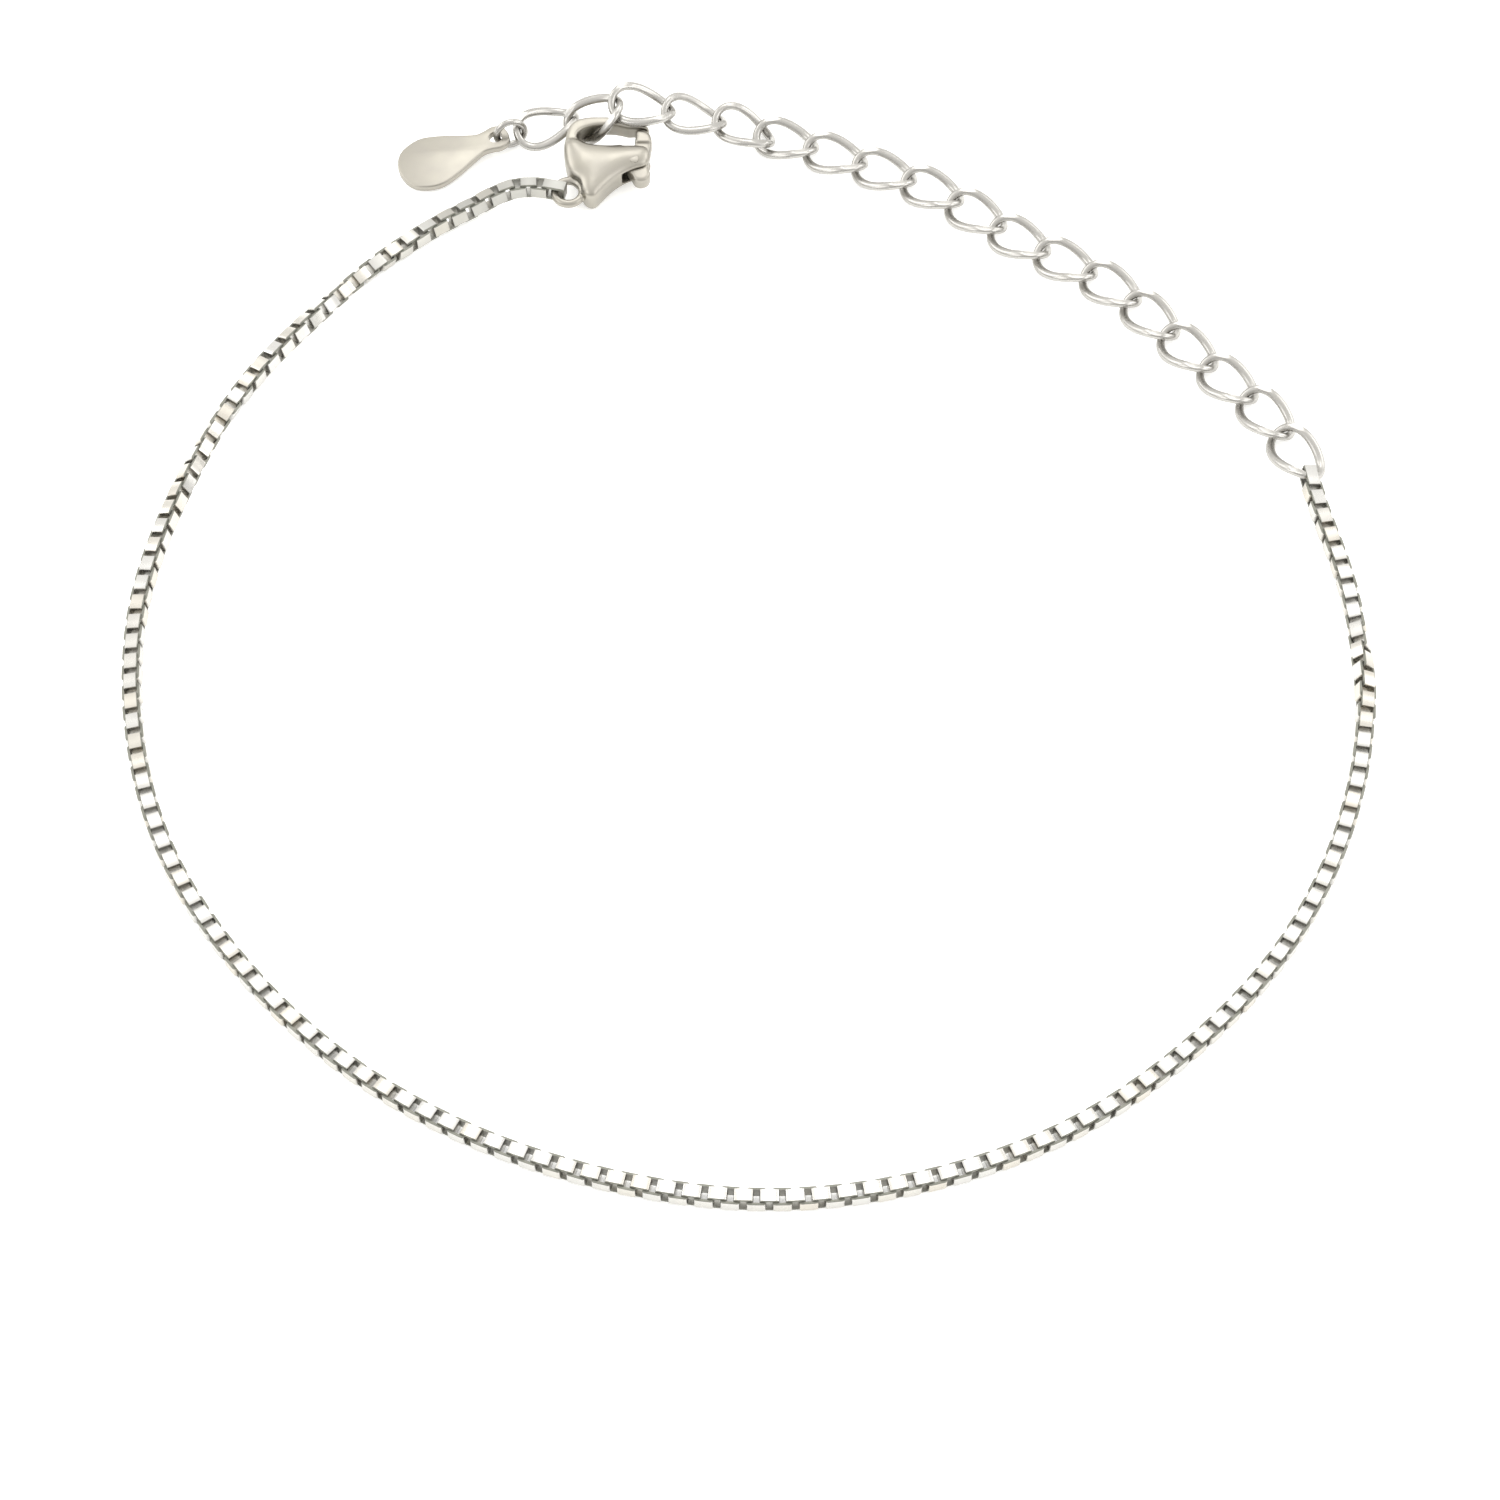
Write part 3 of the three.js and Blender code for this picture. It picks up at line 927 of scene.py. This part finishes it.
class BoxChain:
    """The chain's middle line and the place of each of its links."""

    def __init__(self, sizes):
        self.sizes = sizes
        self.line = Line(CHAIN_ROUTE)
        self.thickness = in_mm(sizes.band_thickness)
        self.side = in_mm(sizes.link_side)
        self.extra = in_mm(sizes.end_link_extra)
        taken = 2 * self.extra + 2 * self.thickness
        self.spacing = (self.line.length - taken) / sizes.link_count

    def rest_height(self, roll):
        """Height of the middle line when the rolled chain rests on the surface."""
        arm = self.side / 2
        core = arm - self.thickness
        c, s = abs(math.cos(roll)), abs(math.sin(roll))
        return max(c * arm + s * core, c * core + s * arm)

    def point(self, along):
        """The point of the chain's middle line at a distance along it."""
        point = self.line.point(along)
        roll = math.radians(table_value(CHAIN_ROLL, along, 1))
        point.z = self.rest_height(roll) + table_value(CHAIN_ROLL, along, 2)
        return point

    def span(self, index):
        """Where a link starts and ends along the chain."""
        start = index * self.spacing + self.extra
        end = start + self.spacing + 2 * self.thickness
        if index == 0:
            start = 0
        if index == self.sizes.link_count - 1:
            end = self.line.length
        return start, end

    def link_matrix(self, index, jitter):
        """The place of a link, its plates turned a quarter turn from its neighbours'."""
        start, end = self.span(index)
        middle = (start + end) / 2
        tangent = (self.point(end) - self.point(start)).normalized()
        side = Vector((0, 0, 1)).cross(tangent).normalized()
        top = tangent.cross(side)
        frame_of_line = Matrix((tangent, side, top)).transposed().to_4x4()
        roll = table_value(CHAIN_ROLL, middle, 1) + (90 if index % 2 else 0)
        loose = turned(*(jitter.uniform(-LOOSE_TURN, LOOSE_TURN) for _ in range(3)))
        return (
            Matrix.Translation((self.point(start) + self.point(end)) / 2)
            @ frame_of_line
            @ Matrix.Rotation(-math.radians(roll), 4, "X")
            @ loose
        )


def chain_length_mesh(chain, first, last, name):
    """The links from first to last, joined in one mesh."""
    jitter = random.Random(first + LOOSE_SEED)
    length = chain.spacing + 2 * chain.thickness
    regular = square_link(length + LINK_SLACK, chain.sizes)
    end_link = square_link(length + chain.extra, chain.sizes)
    bm = bmesh.new()
    dullness_and_shade = bm.faces.layers.float.new("dullness_and_shade")
    tone = bm.faces.layers.float.new("tone")
    for index in range(first, last + 1):
        is_end = index in (0, chain.sizes.link_count - 1)
        shape = (end_link if is_end else regular).copy()
        shape.transform(chain.link_matrix(index, jitter))
        before = len(bm.faces)
        bm.from_mesh(shape)
        bm.faces.ensure_lookup_table()
        shade = jitter.random() ** 2
        # Painted shade and rougher metal on the links beside the clasp.
        near_clasp_dullness_and_shade = table_value(CHAIN_DULLNESS_AND_SHADE, index * chain.spacing, 1)
        for face in bm.faces[before:]:
            face[tone] = shade
            face[dullness_and_shade] = max(face[dullness_and_shade], near_clasp_dullness_and_shade)
        bpy.data.meshes.remove(shape)
    return mesh_from(bm, name)


# Extender


def wire_ring(radius, wire_radius, steps, sides):
    """A closed ring of round wire in its own plane."""
    bm = bmesh.new()
    bmesh.ops.create_circle(bm, radius=wire_radius, segments=sides)
    bmesh.ops.rotate(
        bm, verts=bm.verts, matrix=Matrix.Rotation(math.pi / 2, 3, "X")
    )
    bmesh.ops.translate(bm, verts=bm.verts, vec=(radius, 0, 0))
    bmesh.ops.spin(
        bm,
        geom=bm.verts[:] + bm.edges[:],
        cent=(0, 0, 0),
        axis=(0, 0, 1),
        angle=2 * math.pi,
        steps=steps,
        use_merge=True,
    )
    bmesh.ops.recalc_face_normals(bm, faces=bm.faces)
    return bm


def bend_to_twisted_oval(bm, sizes):
    """Bends a round wire ring to the extender's twisted oval."""
    wire = in_mm(sizes.wire_diameter)
    half_length = (in_mm(sizes.oval_length) - wire) / 2
    half_width = (in_mm(sizes.oval_width) - wire) / 2
    twist = -in_mm(sizes.oval_twist)
    for vert in bm.verts:
        angle = math.atan2(vert.co.y, vert.co.x)
        sine, cosine = math.sin(angle), math.cos(angle)
        widening = 1 + SIDE_WIDENING * sine**2
        outward = (math.hypot(vert.co.x, vert.co.y) - OVAL_RING_RADIUS) * widening
        middle = Vector(
            (half_length * cosine, half_width * sine, twist * math.sin(2 * angle))
        )
        tangent = Vector(
            (-half_length * sine, half_width * cosine, 2 * twist * math.cos(2 * angle))
        ).normalized()
        out = tangent.cross(Vector((0, 0, 1))).normalized()
        vert.co = middle + outward * out + vert.co.z * out.cross(tangent)


def file_flat(bm, height):
    """Files both faces of a link flat at a height."""
    for way in (1, -1):
        bmesh.ops.bisect_plane(
            bm,
            geom=bm.verts[:] + bm.edges[:] + bm.faces[:],
            plane_co=(0, 0, way * height),
            plane_no=(0, 0, way),
            clear_outer=True,
        )
        rim = [e for e in bm.edges if len(e.link_faces) == 1]
        bmesh.ops.holes_fill(bm, edges=rim)
    bmesh.ops.recalc_face_normals(bm, faces=bm.faces)


def oval_link(sizes):
    """A link of the extender, lying in its own plane."""
    wire_radius = in_mm(sizes.wire_diameter) / 2
    bm = wire_ring(OVAL_RING_RADIUS, wire_radius, OVAL_RING_STEPS, OVAL_WIRE_SIDES)
    bend_to_twisted_oval(bm, sizes)
    file_flat(bm, in_mm(sizes.facet_height))
    return mesh_from(bm, "oval_link")


def extender_places():
    """The matrix of each link of the extender, from the tag to the box chain."""
    places = [placed(row) for row in CLIMBING_LINKS]
    line = Line(EXTENDER_ROUTE)
    step = 0.01
    for index in range(ROUTE_LINKS):
        along = line.length * index / (ROUTE_LINKS - 1)
        ahead = line.point(along + step) - line.point(along - step)
        heading = math.degrees(math.atan2(ahead.y, ahead.x))
        places.append(placed((*line.point(along), heading, 0, 0)))
    return places


# Clasp


def closed_outline(outline, per_span):
    """The points of a smooth outline in its own plane."""
    return smooth_points([(x, y, 0) for x, y in outline], per_span, closed=True)


def level_edges(bm):
    """The edges that lie level, which are those round the two ends of an upright shape."""
    return [e for e in bm.edges if abs(e.verts[0].co.z - e.verts[1].co.z) < 1e-4]


def plate(outline, thickness, rounding, segments):
    """A plate with rounded edges from an outline, its middle at height 0."""
    bm = bmesh.new()
    points = closed_outline(outline, OUTLINE_POINTS)
    face = bm.faces.new([bm.verts.new(p) for p in points])
    bmesh.ops.translate(bm, verts=bm.verts, vec=(0, 0, -thickness / 2))
    raised = bmesh.ops.extrude_face_region(bm, geom=[face])
    top = [v for v in raised["geom"] if isinstance(v, bmesh.types.BMVert)]
    bmesh.ops.translate(bm, verts=top, vec=(0, 0, thickness))
    bmesh.ops.recalc_face_normals(bm, faces=bm.faces)
    bevel_edges(bm, level_edges(bm), rounding, segments, clamp=True)
    return bm


def cylinder(x, y, radii, depth, sides=CYLINDER_SIDES):
    """An upright cylinder, round or oval, its middle at height 0."""
    bm = bmesh.new()
    bmesh.ops.create_cone(
        bm, cap_ends=True, radius1=1, radius2=1, depth=depth, segments=sides
    )
    bmesh.ops.scale(bm, vec=(radii[0], radii[1], 1), verts=bm.verts)
    bmesh.ops.translate(bm, vec=(x, y, 0), verts=bm.verts)
    return bm


def block(low, high):
    """A cutter: a box between two corners."""
    bm = bmesh.new()
    bmesh.ops.create_cube(bm, size=1.0)
    span = Vector(high) - Vector(low)
    bmesh.ops.scale(bm, vec=span, verts=bm.verts)
    bmesh.ops.translate(bm, vec=(Vector(low) + Vector(high)) / 2, verts=bm.verts)
    return bm


def joined(mesh, operation, shape):
    """The mesh with another shape, a mesh or a bmesh, joined to it or cut from it."""
    is_mesh = isinstance(shape, bpy.types.Mesh)
    tool = bpy.data.objects.new("tool", shape if is_mesh else mesh_from(shape, "tool"))
    bpy.context.scene.collection.objects.link(tool)
    settings = {"operation": operation, "object": tool, "solver": "EXACT"}
    mesh = with_modifiers(mesh, [("BOOLEAN", settings)])
    bpy.data.objects.remove(tool)
    return mesh


def smoothed_casting(mesh, cell, rounds):
    """A casting: every edge and corner softened as a polished cast piece has them."""
    return with_modifiers(
        mesh,
        [
            ("REMESH", {"mode": "VOXEL", "voxel_size": cell}),
            ("SMOOTH", {"factor": 0.5, "iterations": rounds}),
        ],
    )


def swell(mesh, outline):
    """Lowers a plate's faces towards its outline, so that both swell to the middle."""
    rim = closed_outline(outline, FINE_OUTLINE_POINTS)
    tree = KDTree(len(rim))
    for number, point in enumerate(rim):
        tree.insert(point, number)
    tree.balance()
    for vert in mesh.vertices:
        distance = tree.find((vert.co.x, vert.co.y, 0))[2]
        lack = 1 - min(distance / SWELL_REACH, 1)
        rise = math.sqrt(1 - lack**2)
        vert.co.z *= SWELL_RIM_SHARE + (1 - SWELL_RIM_SHARE) * rise


def housing_mesh(sizes):
    """The clasp's housing, swelling to its middle like a pillow."""
    cell = in_mm(sizes.casting_detail)
    thickness = in_mm(sizes.housing_thickness) + HOUSING_ALLOWANCE
    rough = mesh_from(plate(HOUSING_OUTLINE, thickness, ROUGH_ROUNDING, 1), "housing")
    mesh = smoothed_casting(rough, cell, HOUSING_SMOOTHING)
    swell(mesh, HOUSING_OUTLINE)
    return smoothed_casting(mesh, cell, SWELL_SMOOTHING)


def hook_mesh(sizes):
    """The hook round the mouth, cut back where the lever swings."""
    thickness = in_mm(sizes.hook_thickness)
    rough = mesh_from(plate(HOOK_OUTLINE, thickness, ROUGH_ROUNDING, 1), "hook")
    mouth = cylinder(*MOUTH, MOUTH_HALF_SIZE, CUTTER_DEPTH, MOUTH_SIDES)
    radii = (SWING_RADIUS, SWING_RADIUS)
    swing = mesh_from(cylinder(*PIVOT, radii, CUTTER_DEPTH, SWING_SIDES), "swing")
    mesh = joined(rough, "DIFFERENCE", mouth)
    mesh = joined(mesh, "DIFFERENCE", joined(swing, "INTERSECT", block(*SWING_SIDE)))
    return smoothed_casting(mesh, in_mm(sizes.casting_detail), HOOK_SMOOTHING)


def clasp_body_mesh(sizes):
    """The housing with its hook and its eye ring, cast in one, and the lever's slot."""
    cell = in_mm(sizes.casting_detail)
    eye_ring = wire_ring(
        EYE_RING_RADIUS, EYE_WIRE_RADIUS, EYE_RING_STEPS, RING_WIRE_SIDES
    )
    bmesh.ops.translate(eye_ring, verts=eye_ring.verts, vec=(*EYE, 0))
    radii = (EYE_RING_RADIUS, EYE_RING_RADIUS)
    eye_hole = cylinder(*EYE, radii, CUTTER_DEPTH, EYE_RING_STEPS)
    body = joined(housing_mesh(sizes), "UNION", hook_mesh(sizes))
    body = smoothed_casting(body, cell, BODY_SMOOTHING)
    body = joined(body, "DIFFERENCE", block(*SLOT))
    body = joined(body, "DIFFERENCE", eye_hole)
    body = joined(body, "UNION", eye_ring)
    return smoothed_casting(body, cell, LAST_SMOOTHING)


def clasp_lever_mesh(sizes):
    """The lever with its thumb tab, and the thicker finger that closes the hook."""
    shaping = (LEVER_ROUNDING, ROUNDING_SEGMENTS)
    lever = plate(LEVER_OUTLINE, in_mm(sizes.lever_thickness), *shaping)
    finger = plate(LEVER_OUTLINE, in_mm(sizes.hook_thickness), *shaping)
    finger = joined(mesh_from(finger, "finger"), "INTERSECT", block(*FINGER))
    radii = (RIVET_HOLE_RADIUS, RIVET_HOLE_RADIUS)
    hole = cylinder(*PIVOT, radii, CUTTER_DEPTH)
    mesh = joined(mesh_from(lever, "lever"), "DIFFERENCE", hole)
    mesh = joined(mesh, "UNION", finger)
    return smoothed_casting(mesh, in_mm(sizes.casting_detail), LEVER_SMOOTHING)


def clasp_rivet_mesh(sizes):
    """The rivet that the lever turns on, its ends almost flush with the housing."""
    length = in_mm(sizes.housing_thickness) - 2 * RIVET_INSET
    rivet = cylinder(*PIVOT, (RIVET_RADIUS, RIVET_RADIUS), length)
    bevel_edges(rivet, level_edges(rivet), RIVET_CHAMFER, RIVET_CHAMFER_SEGMENTS)
    return mesh_from(rivet, "rivet")


# Tag


def tag_mesh(sizes):
    """The teardrop tag, its edges eased, with the hole at its narrow end."""
    thickness = in_mm(sizes.tag_thickness)
    far_side = [(x, -y) for x, y in TAG_HALF_OUTLINE[1:-1]]
    outline = [*far_side, *reversed(TAG_HALF_OUTLINE)]
    bm = plate(outline, thickness, TAG_ROUNDING, ROUNDING_SEGMENTS)
    radius = in_mm(sizes.tag_hole_radius)
    hole = cylinder(*TAG_HOLE, (radius, radius), CUTTER_DEPTH)
    mesh = joined(mesh_from(bm, "tag"), "DIFFERENCE", hole)
    mesh.transform(Matrix.Translation((0, 0, thickness / 2)))
    return mesh


def tag_ring_mesh():
    """The round jump ring of the tag."""
    ring = wire_ring(
        TAG_RING_RADIUS, TAG_RING_WIRE_RADIUS, TAG_RING_STEPS, RING_WIRE_SIDES
    )
    return mesh_from(ring, "tag_ring")


# Studio


def light_tent(exposure, colours):
    """The white tent round the table: bright overhead and dimmer towards the viewer."""
    world = bpy.data.worlds.new("light_tent")
    world.use_nodes = True
    tree = world.node_tree
    tree.nodes.clear()
    where = add_node(tree, "ShaderNodeTexCoord")
    towards_light = add_node(
        tree,
        "ShaderNodeVectorMath",
        {"operation": "DOT_PRODUCT"},
        {1: TENT_BRIGHT_WAY},
        {0: (where, "Generated")},
    )
    strength = add_node(
        tree,
        "ShaderNodeMapRange",
        {"interpolation_type": "SMOOTHSTEP"},
        {
            "From Min": TENT_FADE[0],
            "From Max": TENT_FADE[1],
            "To Min": TENT_DIM * exposure,
            "To Max": TENT_BRIGHT * exposure,
        },
        {"Value": (towards_light, "Value")},
    )
    cloth = add_node(
        tree,
        "ShaderNodeBackground",
        inputs={"Color": linear_colour(colours.tent)},
        links={"Strength": (strength, "Result")},
    )
    add_node(tree, "ShaderNodeOutputWorld", links={"Surface": (cloth, "Background")})
    return world


def add_softbox(place, size, power):
    """A square area light that faces the bracelet."""
    light = bpy.data.lights.new("softbox", "AREA")
    light.shape = "SQUARE"
    light.size = size
    light.energy = power
    softbox = bpy.data.objects.new("softbox", light)
    softbox.location = place
    softbox.rotation_mode = "QUATERNION"
    softbox.rotation_quaternion = (-Vector(place)).to_track_quat("-Z", "Y")
    bpy.context.scene.collection.objects.link(softbox)


def add_table():
    """The pale table that the bracelet lies on."""
    bm = bmesh.new()
    bmesh.ops.create_grid(bm, x_segments=1, y_segments=1, size=TABLE_SIZE)
    table = bpy.data.objects.new("floor", mesh_from(bm, "floor"))
    table.data.materials.append(material_named("opal_light_table", opal_light_table))
    bpy.context.scene.collection.objects.link(table)


def add_camera():
    """The camera at the photograph's viewing angle."""
    camera = bpy.data.cameras.new("camera")
    camera.lens = CAMERA_LENS
    camera.sensor_width = CAMERA_SENSOR
    camera.clip_start = CAMERA_CLIP_START
    stand = bpy.data.objects.new("camera", camera)
    place = (Vector(CAMERA_PLACE) + SHIFT) * MM
    target = (Vector(CAMERA_TARGET) + SHIFT) * MM
    stand.location = place
    stand.rotation_mode = "QUATERNION"
    stand.rotation_quaternion = (target - place).to_track_quat("-Z", "Y")
    bpy.context.scene.collection.objects.link(stand)
    bpy.context.scene.camera = stand


# Operators


class BoxChainOperator(bpy.types.Operator):
    """Builds both lengths of the box chain"""

    bl_idname = "bracelet.box_chain"
    bl_label = "Box chain"

    def execute(self, context):
        chain = BoxChain(context.scene.bracelet.chain)
        meeting_link = chain.sizes.link_count // 2
        halves = (
            ("box_chain_clasp_half", 0, meeting_link - 1),
            ("box_chain_extender_half", meeting_link, chain.sizes.link_count - 1),
        )
        for node, first, last in halves:
            name = node.replace("box_chain", "fine_box_chain")
            mesh = chain_length_mesh(chain, first, last, name)
            finish_piece(name, mesh, polished_silver(), node)
        return {"FINISHED"}


class ExtenderOperator(bpy.types.Operator):
    """Builds the extender's oval links"""

    bl_idname = "bracelet.extender"
    bl_label = "Extender"

    def execute(self, context):
        shape = oval_link(context.scene.bracelet.chain)
        for number, place in enumerate(extender_places(), 1):
            finish_piece(
                f"oval_link_{number:02d}",
                shape.copy(),
                wire_silver(),
                f"extender_link_{number:02d}",
                place,
            )
        bpy.data.meshes.remove(shape)
        return {"FINISHED"}


class ClaspOperator(bpy.types.Operator):
    """Builds the lobster clasp: its body, lever and rivet"""

    bl_idname = "bracelet.clasp"
    bl_label = "Clasp"

    def execute(self, context):
        sizes = context.scene.bracelet.clasp
        parts = (
            ("cast_clasp_body", clasp_body_mesh, "clasp_body", "satin_silver"),
            ("cast_clasp_lever", clasp_lever_mesh, "clasp_lever", "satin_silver"),
            ("flush_rivet", clasp_rivet_mesh, "clasp_rivet", "satin_silver"),
        )
        for name, maker, node, slot in parts:
            finish_piece(
                name,
                maker(sizes),
                satin_silver(),
                node,
                clasp_matrix(),
                CASTING_EDGE_ANGLE,
            )
        return {"FINISHED"}


class TagOperator(bpy.types.Operator):
    """Builds the teardrop tag and the ring that carries it"""

    bl_idname = "bracelet.tag"
    bl_label = "Tag"

    def execute(self, context):
        finish_piece(
            "teardrop_tag",
            tag_mesh(context.scene.bracelet.clasp),
            satin_silver(),
            "tag",
            placed(TAG_PLACE),
        )
        finish_piece(
            "round_tag_ring",
            tag_ring_mesh(),
            wire_silver(),
            "tag_ring",
            placed(TAG_RING_PLACE),
        )
        return {"FINISHED"}


class StageOperator(bpy.types.Operator):
    """Lays the pale floor, sets the soft light and stands the camera"""

    bl_idname = "bracelet.stage"
    bl_label = "Stage"

    def execute(self, context):
        settings = context.scene.bracelet
        add_table()
        for place, size, power in SOFTBOXES:
            add_softbox(place, size, power * settings.exposure)
        context.scene.world = light_tent(settings.exposure, settings.colours)
        context.scene.view_settings.view_transform = "Standard"
        add_camera()
        return {"FINISHED"}


class BraceletPanel(bpy.types.Panel):
    """The bracelet's operators and settings"""

    bl_idname = "VIEW3D_PT_bracelet"
    bl_label = "Box Chain Bracelet"
    bl_space_type = "VIEW_3D"
    bl_region_type = "UI"
    bl_category = "Bracelet"

    def draw(self, context):
        settings = context.scene.bracelet
        for operator in OPERATORS:
            self.layout.operator(operator.bl_idname)
        for group in (settings.chain, settings.clasp, settings.colours):
            box = self.layout.box()
            for name in group.__annotations__:
                box.prop(group, name)
        self.layout.prop(settings, "exposure")


OPERATORS = (
    BoxChainOperator,
    ExtenderOperator,
    ClaspOperator,
    TagOperator,
    StageOperator,
)
GROUPS = (ChainSizes, ClaspSizes, BraceletColours, BraceletSettings)


def register():
    for cls in (*GROUPS, *OPERATORS, BraceletPanel):
        bpy.utils.register_class(cls)
    bpy.types.Scene.bracelet = bpy.props.PointerProperty(type=BraceletSettings)


def unregister():
    del bpy.types.Scene.bracelet
    for cls in reversed((*GROUPS, *OPERATORS, BraceletPanel)):
        bpy.utils.unregister_class(cls)


def main():
    register()
    bpy.ops.bracelet.box_chain()
    bpy.ops.bracelet.extender()
    bpy.ops.bracelet.clasp()
    bpy.ops.bracelet.tag()
    bpy.ops.bracelet.stage()


if __name__ == "__main__":
    main()
